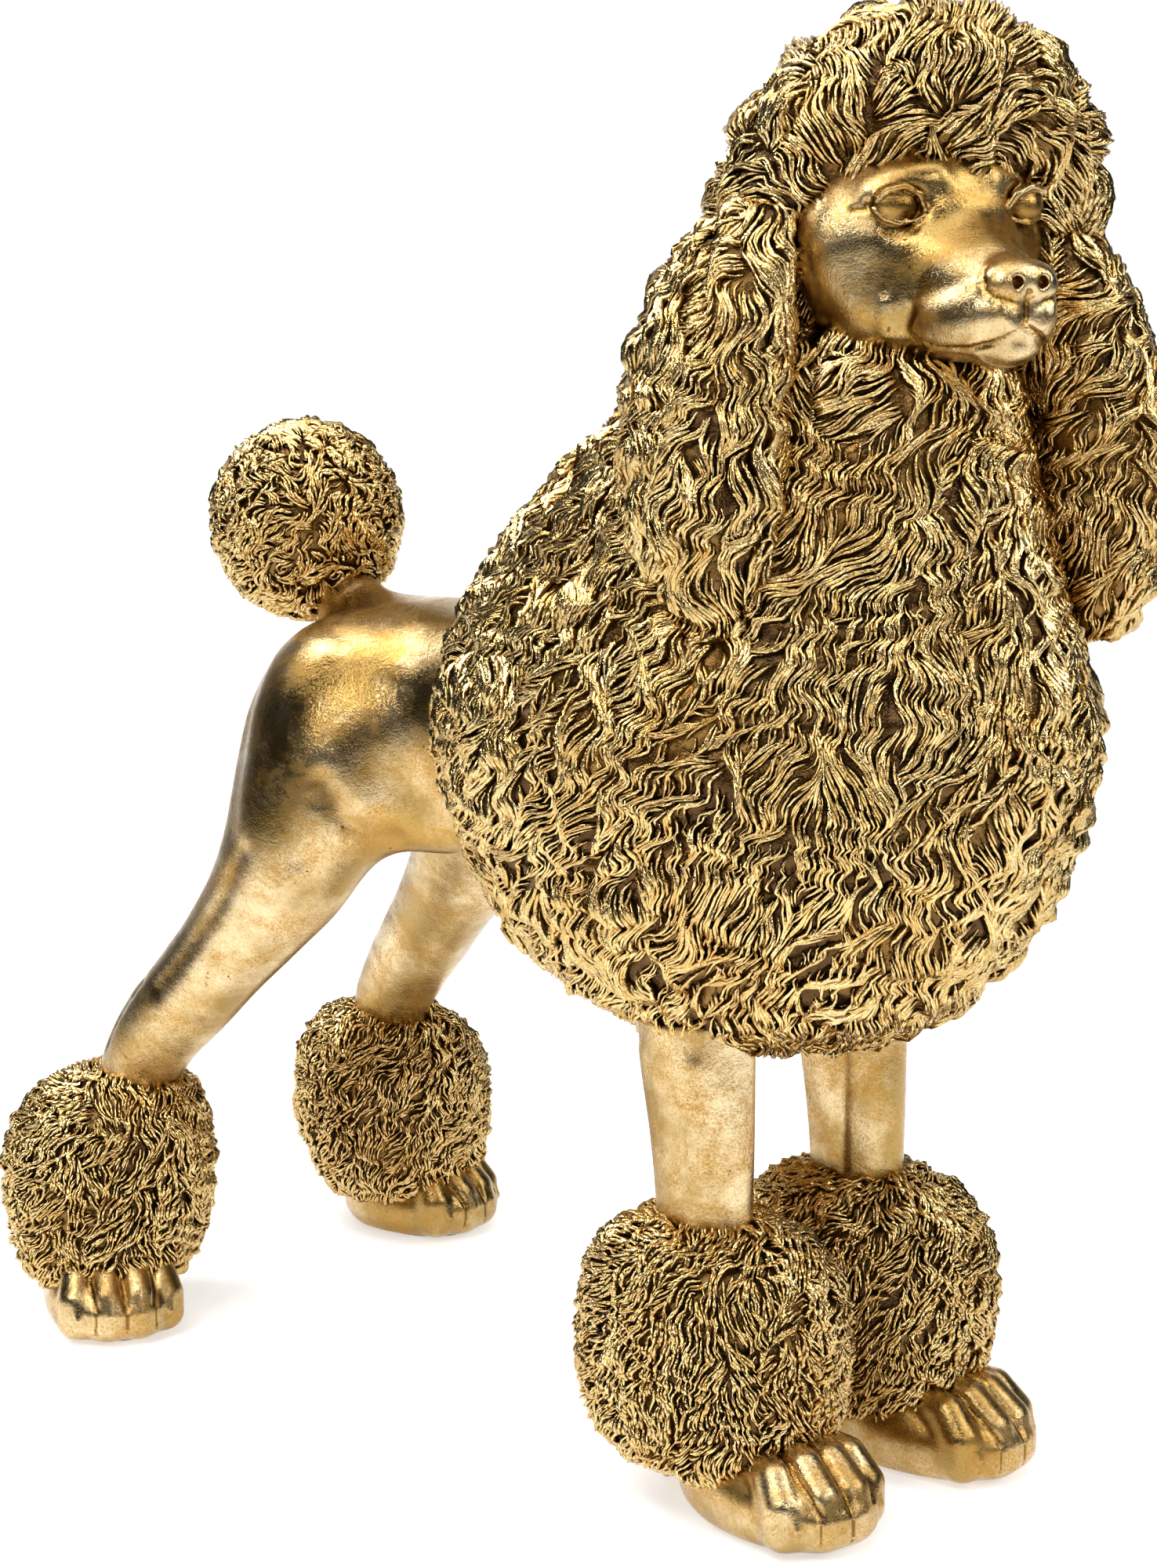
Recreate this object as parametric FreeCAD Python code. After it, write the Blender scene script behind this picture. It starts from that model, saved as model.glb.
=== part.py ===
"""Standing show-clip poodle statuette, hollow slip-cast ceramic under a gold finish.

Millimetres. The dog faces -Y, its left side is +X and it stands on Z = 0. The model is built about
the middle of its stance, then moved so that the origin is the centre of its box at floor level.
"""
import FreeCAD
import Part
import math
import os

from FreeCAD import Vector

# ---- driving dimensions ---------------------------------------------------------------------
HEIGHT = 380.0            # floor to the top of the topknot
PAD_THICKNESS = 1.2       # felt under each paw
WALL = 6.0                # thickness of the hollow castings
FIT = 0.15                # clearance of a spigot in its socket, filled by slip or glue

FORELEG_X, FORELEG_Y = 30.0, -93.0
FOREPAW_Y = -120.0
HINDPAW_X, HINDPAW_Y = 63.0, 116.0
HIND_STEP = {"right": (3.0, 2.0), "left": (-2.0, 6.5)}   # each hind foot's own step, out and back
SHAFT_FOOT = 10.0         # the leg's lower end, inside the paw

FORE_TOE_OUT = 8.0                             # degrees that the toes point outwards
HIND_TOE_OUT = {"right": 26.0, "left": 14.0}
FOREPAW_HALF = (19.0, 30.0, 27.0)              # half width, half length and height
HINDPAW_HALF = (19.0, 26.0, 26.0)
FORE_PAD_HALF = (13.0, 21.0)                   # half width and half length of the felt
HIND_PAD_HALF = (13.0, 18.0)

HIP_SPIGOT_RADIUS, HIP_SPIGOT_LENGTH = 8.0, 22.0   # joins each hind leg to the body
HIP_X, HIP_Y, HIP_Z = 22.0, 67.0, 182.0
VENT_RADIUS, VENT_Y, VENT_BOTTOM = 3.5, 30.0, 146.0
PLUG_BOTTOM, PLUG_LENGTH = 153.5, 8.0

HEAD_X, HEAD_Y = 2.0, -132.0   # axis of the head
FACE_TURN = 18.0               # degrees that the face is turned to the dog's right
HAIR_TURN = 28.0               # the same for the topknot and ears, which swing a little further
EYE_LEVEL = 333.0

TAIL_ROOT, TAIL_TIP = (0, 72, 200), (0, 96, 232)
TAIL_ROOT_RADIUS, TAIL_TIP_RADIUS = 9.0, 7.5
POMPON_CENTRE, POMPON_HALF = (0, 101.5, 239), (27.5, 27.5, 29.0)

RING_POINTS = 16
ORIGIN, ACROSS, ALONG, UP = Vector(0, 0, 0), Vector(1, 0, 0), Vector(0, 1, 0), Vector(0, 0, 1)
RIGHT, LEFT = -1, 1
SIDES = {"right": RIGHT, "left": LEFT}


# ---- shape helpers --------------------------------------------------------------------------
def ring(centre, across, along, half_across, half_along, power=2.0):
    """A closed superellipse; power 2 is an ellipse and more is squarer."""
    points = []
    for i in range(RING_POINTS):
        turn = 2 * math.pi * i / RING_POINTS
        c, s = math.cos(turn), math.sin(turn)
        u = math.copysign(abs(c) ** (2 / power), c) * half_across
        v = math.copysign(abs(s) ** (2 / power), s) * half_along
        points.append(centre + across * u + along * v)
    curve = Part.BSplineCurve()
    curve.interpolate(Points=points, PeriodicFlag=True)
    return Part.Wire(curve.toShape())


def between(a, b, c, d, t):
    """The Catmull-Rom curve from b to c at t, with a and d beyond them."""
    return b + 0.5 * t * (c - a + t * (2 * a - 5 * b + 4 * c - d + t * (3 * (b - c) + d - a)))


def eased(stations, steps=3):
    """The stations with a smooth run of others set between them."""
    run = []
    last = len(stations) - 1
    for i in range(last):
        nearest = (stations[min(max(k, 0), last)] for k in range(i - 1, i + 3))
        columns = list(zip(*nearest))
        run += [tuple(between(*c, k / steps) for c in columns) for k in range(steps)]
    run.append(stations[-1])
    return run


def stacked(stations, across=ACROSS, along=ALONG, power=2.0, shrink=0.0):
    """A solid through level rings, each (x, y, z, half size across, half size along)."""
    rings = [ring(Vector(x, y, z), across, along, a - shrink, b - shrink, power)
             for x, y, z, a, b in stations]
    return Part.makeLoft(rings, True, False)


def limb(stations):
    """A solid through rings square to a bent spine, each (x, y, z, half width, half depth)."""
    stations = eased(stations)
    spine = [Vector(*s[:3]) for s in stations]
    rings = []
    for i, (_, _, _, half_width, half_depth) in enumerate(stations):
        tangent = spine[min(i + 1, len(spine) - 1)] - spine[max(i - 1, 0)]
        tangent.normalize()
        across = ACROSS - tangent * tangent.x
        across.normalize()
        along = tangent.cross(across)
        rings.append(ring(spine[i], across, along, half_width, half_depth))
    return Part.makeLoft(rings, True, False)


def ellipsoid(centre, half_x, half_y, half_z):
    ball = Part.makeSphere(1.0)
    stretch = FreeCAD.Matrix()
    stretch.scale(half_x, half_y, half_z)
    ball = ball.transformGeometry(stretch)
    ball.translate(centre)
    return ball


def turned(shape, degrees, pivot):
    copy = shape.copy()
    copy.rotate(pivot, UP, degrees)
    return copy


def mirrored(stations, side):
    return [(side * x, y, z, a, b) for x, y, z, a, b in stations]


def stepped(stations, out, back):
    """Moves the lower stations of a hind limb by the foot's own step, fading to none at the hip."""
    run = []
    for x, y, z, a, b in stations:
        share = 1 - min(z / HIP_Z, 1.0)
        run.append((x + out * share, y + back * share, z, a, b))
    return run


def hair_point(lateral, forward, z):
    """A point in the turned hair's own directions; lateral is towards the dog's left."""
    turn = math.radians(HAIR_TURN)
    left = Vector(math.cos(turn), -math.sin(turn), 0)
    ahead = Vector(-math.sin(turn), -math.cos(turn), 0)
    return Vector(HEAD_X, HEAD_Y, z) + left * lateral + ahead * forward


def on_head(shape, turn=FACE_TURN):
    """Moves a shape made facing -Y about the origin onto the head's axis, turned to the right."""
    copy = turned(shape, -turn, ORIGIN)
    copy.translate(Vector(HEAD_X, HEAD_Y, 0))
    return copy


# ---- outer forms ----------------------------------------------------------------------------
MANE = [
    (0, -83, 119, 20, 26),
    (0, -83, 121.5, 32, 39),
    (0, -83, 128.5, 43, 53),
    (0, -82, 139, 54, 67.5),
    (0, -82, 155, 63, 80),
    (0, -81, 174, 69, 90),
    (0, -81, 194, 71, 96),
    (0, -81, 213, 68, 94.5),
    (0, -83, 231, 61, 88),
    (0, -88, 249, 53, 78.5),
    (0, -94, 266, 46, 66.5),
    (0, -103, 281, 41, 54),
    (0, -110, 293, 35, 43),
    (0, -114, 301, 27, 33),
    (0, -116, 306, 18, 22),
]
NECK_OPENING = 293.0                     # from here the mane's hollow runs out through the neck
NECK_TOP = (0, -114, 312, 24, 30)
NECK_RADIUS = 14.0
BODY_OPENING = (0, -12, 188, 29, 33)     # where the body's hollow meets the mane's
BODY = [  # along the back, front to rear
    (0, -6, 189, 29, 33),
    (0, 15, 188, 31, 34.5),
    (0, 35, 187, 31, 34.5),
    (0, 52, 185.5, 34, 34.5),
    (0, 66, 183, 37, 33.5),
    (0, 79, 179, 35, 31),
    (0, 89, 174, 29, 26.5),
    (0, 96, 169, 20, 19),
    (0, 99, 166, 10, 10),
]
HIND_LEG = [  # hip, stifle, hock and pastern of the left side
    (22, 57, 202, 11, 12),
    (28, 60.5, 186, 17, 23.5),
    (33, 61, 167, 18.5, 27),
    (37, 64.5, 149, 17.5, 23.5),
    (40, 75, 132, 15, 18.5),
    (43, 88, 116, 13, 15.5),
    (46, 100, 102, 12.5, 14.5),
    (49, 111.5, 89, 12, 13.5),
    (51, 120, 74, 11, 12.5),
    (56, 123, 48, 9, 10),
    (62, 120, SHAFT_FOOT, 9, 10),
]
FORELEG = [
    (FORELEG_X, FORELEG_Y + 4, 128, 13, 17),
    (FORELEG_X, FORELEG_Y + 3, 116, 12.5, 16.5),
    (FORELEG_X, FORELEG_Y + 1, 96, 11, 15),
    (FORELEG_X, FORELEG_Y, 74, 10.5, 13.5),
    (FORELEG_X, FORELEG_Y, 45, 10, 13),
    (FORELEG_X, FORELEG_Y, SHAFT_FOOT, 10, 13),
]
FORE_CUFF = [
    (30, -97, 12, 17, 22),
    (30, -97, 15, 23, 28),
    (30, -96, 25, 28, 34),
    (30, -96, 40, 29.5, 36),
    (30, -96, 56, 29, 35),
    (30, -95, 66, 25.5, 30.5),
    (30, -94, 72, 19, 23),
    (30, -94, 74.5, 13, 16),
]
HIND_CUFF = [
    (60, 124, 11, 14, 15),
    (60, 125, 14, 21, 22),
    (59, 125, 25, 27, 28),
    (58, 126, 41, 29.5, 30.5),
    (57, 126, 56, 28.5, 29.5),
    (55, 126, 66, 24, 25),
    (53, 125, 72, 18, 19),
    (52, 124, 74.5, 12.5, 14),
]
TOPKNOT_SWING = 4.0            # how far the topknot leans to the dog's left
TOPKNOT = [  # in the hair's own directions before it is turned
    (TOPKNOT_SWING, 25, 291, 34, 24),
    (TOPKNOT_SWING, 24, 300, 44, 28),
    (TOPKNOT_SWING, 22, 314, 50, 31),
    (TOPKNOT_SWING, 19, 329, 51, 33),
    (TOPKNOT_SWING, 16, 342, 48.5, 33.5),
    (TOPKNOT_SWING, 13, 354, 43, 34),
    (TOPKNOT_SWING, 11, 364, 36, 31),
    (TOPKNOT_SWING, 9, 372, 26, 25),
    (TOPKNOT_SWING, 8, 378, 14, 14),
    (TOPKNOT_SWING, 8, HEIGHT, 5, 5),
]
MUZZLE = [  # skull to nose, in the face's own directions
    (0, -8, 318, 27, 24),
    (0, -20, 314.5, 22, 20.5),
    (0, -30, 311, 17.5, 16.5),
    (0, -38, 308.5, 14, 13.5),
    (0, -43.5, 307.5, 12, 12),
    (0, -46.5, 307, 8, 8.5),
    (0, -47.5, 307, 4, 4.5),
]
EAR_IN = {RIGHT: 0.0, LEFT: 8.0}   # how much closer each ear lies to the head
EAR = [  # lateral, forward, height, half thickness, half width
    (38, -6, 332, 8, 13),
    (45, -8, 320, 13, 21),
    (51, -7, 302, 17, 27),
    (54, -4, 279, 18.5, 29),
    (55, 0, 257, 17, 26),
    (54, 3, 241, 14, 20),
    (53, 5, 230, 9.5, 13),
    (52, 6, 225.5, 5, 7),
]


def upright_rings(stations, shrink=0.0):
    """A solid through rings that stand square to Y, each (x, y, z, half width, half height)."""
    rings = [ring(Vector(x, y, z), ACROSS, UP, a - shrink, b - shrink)
             for x, y, z, a, b in stations]
    return Part.makeLoft(rings, True, False)


def face_form():
    """Skull, muzzle, nose, brows and eyes."""
    shape = ellipsoid(Vector(0, 2, 323), 36, 25, 30)
    shape = shape.fuse(upright_rings(MUZZLE))
    shape = shape.fuse(ellipsoid(Vector(0, -43, 316.5), 8, 4.5, 5))
    for side in (RIGHT, LEFT):
        shape = shape.fuse(ellipsoid(Vector(side * 16, -16, EYE_LEVEL + 6), 9, 6, 4.5))
        shape = shape.fuse(ellipsoid(Vector(side * 18, -17.5, EYE_LEVEL), 5.5, 4.5, 4.5))
    return shape


def ear_form(side):
    """A hanging ear; the one on the far side of the turned head lies closer in."""
    turn = math.radians(HAIR_TURN)
    across = Vector(math.cos(turn), -math.sin(turn), 0)
    along = Vector(math.sin(turn), math.cos(turn), 0)
    stations = []
    for lateral, forward, z, thick, wide in EAR:
        p = hair_point(side * (lateral - EAR_IN[side]), forward, z)
        stations.append((p.x, p.y, p.z, thick, wide))
    return stacked(stations, across, along)


# ---- paws -----------------------------------------------------------------------------------
SOLE = [  # height, and how far in from the full outline
    (PAD_THICKNESS, 3.0),
    (3.0, 0.8),
    (7.0, 0.0),
    (11.0, 0.6),
    (14.0, 3.0),
    (16.0, 7.0),
]
TOES = [(-0.70, 0.50), (-0.24, 0.60), (0.24, 0.60), (0.70, 0.50)]   # shares of half width and length


def paw(half_width, half_length, height, toe_out, place):
    """Four toes on an upright sole band, flat underneath, made facing -Y and then placed."""
    w, l, h = half_width, half_length, height
    shape = stacked([(0, 0, z, w - inset, l - inset) for z, inset in SOLE], power=2.5)
    shape = shape.fuse(ellipsoid(Vector(0, 0.25 * l, 0.45 * h), 0.78 * w, 0.62 * l, 0.55 * h))
    for lateral, ahead in TOES:
        middle = Vector(lateral * w, -ahead * l, 0.45 * h)
        shape = shape.fuse(ellipsoid(middle, 0.27 * w, 0.36 * l, 0.36 * h))
    shape = shape.cut(Part.makeBox(2 * w, 2 * l, h, Vector(-w, -l, PAD_THICKNESS - h)))
    shape = turned(shape, toe_out, ORIGIN)
    shape.translate(place)
    return shape


def felt_pad(half_width, half_length, toe_out, place):
    """A felt disc glued under a paw."""
    outline = ring(ORIGIN, ACROSS, ALONG, half_width, half_length)
    pad = Part.Face(outline).extrude(UP * PAD_THICKNESS)
    pad = turned(pad, toe_out, ORIGIN)
    pad.translate(place)
    return pad


# ---- the pieces -----------------------------------------------------------------------------
def make_mane(mane, body, head, forelegs):
    """A hollow casting: open at the neck, let in behind for the body and below for the legs."""
    inside = [s for s in MANE if MANE[0][2] + WALL <= s[2] <= NECK_OPENING] + [NECK_TOP]
    shell = mane.cut(stacked(inside, shrink=WALL)).cut(body).cut(head)
    for leg in forelegs.values():
        shell = shell.cut(leg)
    return shell


def make_body(body, stem):
    """A hollow casting that opens into the mane, with holes for the tail, the vent and the hips."""
    hollow = upright_rings([BODY_OPENING] + BODY[:-2], shrink=WALL)
    vent = Part.makeCylinder(VENT_RADIUS, 20, Vector(0, VENT_Y, VENT_BOTTOM))
    shell = body.cut(hollow).cut(stem).cut(vent)
    for side in SIDES.values():
        shell = shell.cut(hip_spigot(side))
    return shell


def hip_spigot(side):
    return Part.makeCylinder(HIP_SPIGOT_RADIUS, HIP_SPIGOT_LENGTH,
                             Vector(side * HIP_X, HIP_Y, HIP_Z), ACROSS * side)


def add_tail(parts, body):
    """A stem let through the rump into a socket of the pompon."""
    root, run = Vector(*TAIL_ROOT), Vector(*TAIL_TIP) - Vector(*TAIL_ROOT)
    stem = Part.makeCone(TAIL_ROOT_RADIUS, TAIL_TIP_RADIUS, run.Length, root, run)
    parts["tail_stem"] = stem
    parts["tail_pompon"] = ellipsoid(Vector(*POMPON_CENTRE), *POMPON_HALF).cut(stem).cut(body)
    return stem


def add_fore_end(parts, name, side, leg):
    """A straight shaft through the cuff into the paw."""
    toe_out = side * FORE_TOE_OUT
    place = Vector(side * FORELEG_X, FOREPAW_Y, 0)
    foot = paw(*FOREPAW_HALF, toe_out, place).cut(leg)
    cuff = stacked(mirrored(FORE_CUFF, side), power=2.3).cut(leg).cut(foot)
    parts["foreleg_" + name] = leg
    parts["fore_cuff_" + name] = cuff
    parts["fore_paw_" + name] = foot
    parts["fore_pad_" + name] = felt_pad(*FORE_PAD_HALF, toe_out, place)


def add_hind_end(parts, name, side, body):
    """A bent leg that plugs into the body at the hip and runs through the cuff into the paw."""
    toe_out = side * HIND_TOE_OUT[name]
    out, back = HIND_STEP[name]
    place = Vector(side * (HINDPAW_X + out), HINDPAW_Y + back, 0)
    leg = limb(mirrored(stepped(HIND_LEG, out, back), side))
    foot = paw(*HINDPAW_HALF, toe_out, place).cut(leg)
    cuff = stacked(mirrored(stepped(HIND_CUFF, out, back), side), power=2.2).cut(leg).cut(foot)
    parts["hind_leg_" + name] = leg.cut(body).fuse(hip_spigot(side))
    parts["hind_cuff_" + name] = cuff
    parts["hind_paw_" + name] = foot
    parts["hind_pad_" + name] = felt_pad(*HIND_PAD_HALF, toe_out, place)


def add_head(parts, mane, head):
    """A face casting set into the topknot, both hollow and open down the neck, and two ears."""
    topknot = on_head(stacked(TOPKNOT), HAIR_TURN)
    hollow = on_head(ellipsoid(Vector(0, 12, 326), 28, 27, 28))
    hollow = hollow.fuse(on_head(Part.makeCylinder(NECK_RADIUS, 45, Vector(0, 14, 284))))
    parts["head"] = head.cut(hollow)
    parts["topknot"] = topknot.cut(head).cut(hollow).cut(parts["mane"])
    for name, side in SIDES.items():
        parts["ear_" + name] = ear_form(side).cut(topknot).cut(mane).cut(head)


def build():
    """Every piece by name, about the middle of the stance."""
    parts = {}
    mane = stacked(MANE)
    body = upright_rings(BODY)
    head = on_head(face_form())
    forelegs = {name: limb(mirrored(FORELEG, side)) for name, side in SIDES.items()}
    parts["mane"] = make_mane(mane, body, head, forelegs)
    parts["body"] = make_body(body, add_tail(parts, body))
    parts["vent_plug"] = Part.makeCylinder(VENT_RADIUS - FIT, PLUG_LENGTH, Vector(0, VENT_Y, PLUG_BOTTOM))
    for name, side in SIDES.items():
        add_fore_end(parts, name, side, forelegs[name])
        add_hind_end(parts, name, side, body)
    add_head(parts, mane, head)
    return {name: largest(shape) for name, shape in parts.items()}


def largest(shape):
    """A piece without the slivers that a cut may leave beside it."""
    return max(shape.Solids, key=lambda solid: solid.Volume)


def centred(parts):
    """Moves every piece so that the origin is the middle of the whole box at floor level."""
    box = FreeCAD.BoundBox()
    for shape in parts.values():
        box.add(shape.optimalBoundingBox(True, False))
    shift = Vector(-(box.XMin + box.XMax) / 2, -(box.YMin + box.YMax) / 2, -box.ZMin)
    for shape in parts.values():
        shape.translate(shift)


def main():
    os.makedirs("parts", exist_ok=True)
    parts = build()
    centred(parts)
    for name, shape in parts.items():
        shape.exportStep(f"parts/{name}.step")


main()
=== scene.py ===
import math

import bmesh
import bpy
import numpy as np
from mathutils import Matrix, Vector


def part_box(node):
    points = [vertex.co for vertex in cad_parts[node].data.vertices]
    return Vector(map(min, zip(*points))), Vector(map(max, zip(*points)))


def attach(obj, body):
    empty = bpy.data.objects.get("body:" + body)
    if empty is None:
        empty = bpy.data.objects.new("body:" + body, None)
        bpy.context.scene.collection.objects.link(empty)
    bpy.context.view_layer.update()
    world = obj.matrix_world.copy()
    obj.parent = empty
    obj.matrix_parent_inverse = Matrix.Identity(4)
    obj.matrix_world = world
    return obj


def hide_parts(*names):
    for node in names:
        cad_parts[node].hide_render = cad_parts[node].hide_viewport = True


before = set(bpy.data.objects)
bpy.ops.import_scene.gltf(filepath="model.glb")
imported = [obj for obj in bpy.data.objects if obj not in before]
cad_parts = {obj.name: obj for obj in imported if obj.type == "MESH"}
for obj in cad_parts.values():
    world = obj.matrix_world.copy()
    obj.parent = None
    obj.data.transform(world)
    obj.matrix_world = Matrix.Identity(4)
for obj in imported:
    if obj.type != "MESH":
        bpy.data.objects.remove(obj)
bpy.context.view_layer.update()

import openvdb
from mathutils import Matrix, Vector, noise
from mathutils.bvhtree import BVHTree

MM = 0.001


def centre(node):
    """The middle of a CAD node's box, in millimetres."""
    low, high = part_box(node)
    return (Vector(low) + Vector(high)) / (2 * MM)


# The belly vent is 30 mm behind the middle of the stance, which the places below are given from.
# The head's upright axis and the turns of the face and hair to the dog's right are the CAD's.
VENT = centre("vent_plug")
STANCE = Vector((VENT.x, VENT.y - 30, 0))
HEAD_AXIS = STANCE + Vector((2.0, -132.0, 0.0))
FACE_TURN = math.radians(18.0)
HAIR_TURN = math.radians(28.0)
PAD_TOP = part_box("fore_pad_left")[1][2] / MM


# ---- camera, light and floor ----------------------------------------------------------------
CAMERA_PLACE = (STANCE + Vector((-593.6, -625.4, 335.2))) * MM
CAMERA_AZIMUTH = math.radians(-44.2)
CAMERA_DOWN = math.radians(10.7)
LENS = 71.9


def make_camera():
    data = bpy.data.cameras.new("camera")
    data.lens = LENS
    data.sensor_fit = "VERTICAL"
    data.sensor_height = 36.0
    data.clip_start = 0.05
    camera = bpy.data.objects.new("camera", data)
    camera.location = CAMERA_PLACE
    camera.rotation_euler = (math.pi / 2 - CAMERA_DOWN, 0.0, CAMERA_AZIMUTH)
    bpy.context.collection.objects.link(camera)
    bpy.context.scene.camera = camera


def softbox(name, azimuth, elevation, distance, width, height, power):
    """An area light on a sphere round the dog's middle, facing it; azimuth 0 is in front."""
    data = bpy.data.lights.new(name, "AREA")
    data.shape = "RECTANGLE"
    data.size = width
    data.size_y = height
    data.energy = power
    lamp = bpy.data.objects.new(name, data)
    a = math.radians(azimuth)
    e = math.radians(elevation)
    out = Vector((math.sin(a) * math.cos(e), -math.cos(a) * math.cos(e), math.sin(e)))
    lamp.location = Vector((0, 0, 0.2)) + out * distance
    lamp.rotation_euler = out.to_track_quat("Z", "Y").to_euler()
    bpy.context.collection.objects.link(lamp)


def make_lights():
    softbox("key_left", -75, 45, 1.0, 0.20, 0.45, 2.5)
    softbox("key_right", 24, 32, 1.1, 0.22, 0.7, 3.4)
    softbox("overhead", -40, 82, 1.0, 1.2, 0.9, 8)
    softbox("rear_left", -150, 50, 1.2, 0.3, 0.5, 6)
    for name, azimuth, elevation, power in (("left", -92, 30, 1.6), ("middle", -50, 40, 1.2),
                                            ("right", -12, 26, 1.6)):
        softbox("glint_" + name, azimuth, elevation, 1.2, 0.08, 0.08, power)
    world = bpy.data.worlds.new("studio")
    world.use_nodes = True
    world.node_tree.nodes["Background"].inputs["Color"].default_value = (0.9, 0.92, 1.0, 1)
    world.node_tree.nodes["Background"].inputs["Strength"].default_value = 0.04
    bpy.context.scene.world = world
    bpy.context.scene.view_settings.view_transform = "Standard"


# how far each line of the floor lies to the right, in metres, and how much it glows
FLOOR_ACROSS = [(-3.0, 0.0), (-1.0, 0.0), (-0.5, 0.55), (0.5, 0.55), (1.0, 0.0), (3.0, 0.0)]


def make_floor():
    """A pale sheet that lies flat under the dog and sweeps up behind it, lit through its middle."""
    front, back, top, bend = -3.0, 1.6, 2.6, 0.6
    profile = [(front, 0.0), (back - bend, 0.0)]
    profile += [(back - bend + bend * math.sin(t), bend - bend * math.cos(t))
                for t in np.linspace(0, math.pi / 2, 13)[1:]]
    profile.append((back, top))
    right = Vector((math.cos(CAMERA_AZIMUTH), math.sin(CAMERA_AZIMUTH), 0))
    away = Vector((-math.sin(CAMERA_AZIMUTH), math.cos(CAMERA_AZIMUTH), 0))
    verts = [away * along + Vector((0, 0, up)) + right * across
             for along, up in profile for across, _ in FLOOR_ACROSS]
    k = len(FLOOR_ACROSS)
    faces = [(r * k + i, r * k + i + 1, r * k + k + i + 1, r * k + k + i)
             for r in range(len(profile) - 1) for i in range(k - 1)]
    mesh = bpy.data.meshes.new("floor")
    mesh.from_pydata(verts, [], faces)
    glow = [shine for _ in profile for _, shine in FLOOR_ACROSS]
    mesh.attributes.new("glow", "FLOAT", "POINT").data.foreach_set("value", glow)
    mesh.shade_smooth()
    mesh.materials.append(floor_paper())
    floor = bpy.data.objects.new("floor", mesh)
    bpy.context.collection.objects.link(floor)


def floor_paper():
    """Matt white paper that glows as each point of the floor says."""
    n = Nodes("floor_paper")
    n.shader.inputs["Base Color"].default_value = (0.86, 0.86, 0.86, 1)
    n.shader.inputs["Roughness"].default_value = 0.9
    n.shader.inputs["Emission Color"].default_value = (1, 1, 1, 1)
    n.link(n.value("glow"), n.shader.inputs["Emission Strength"])
    return n.material


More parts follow.
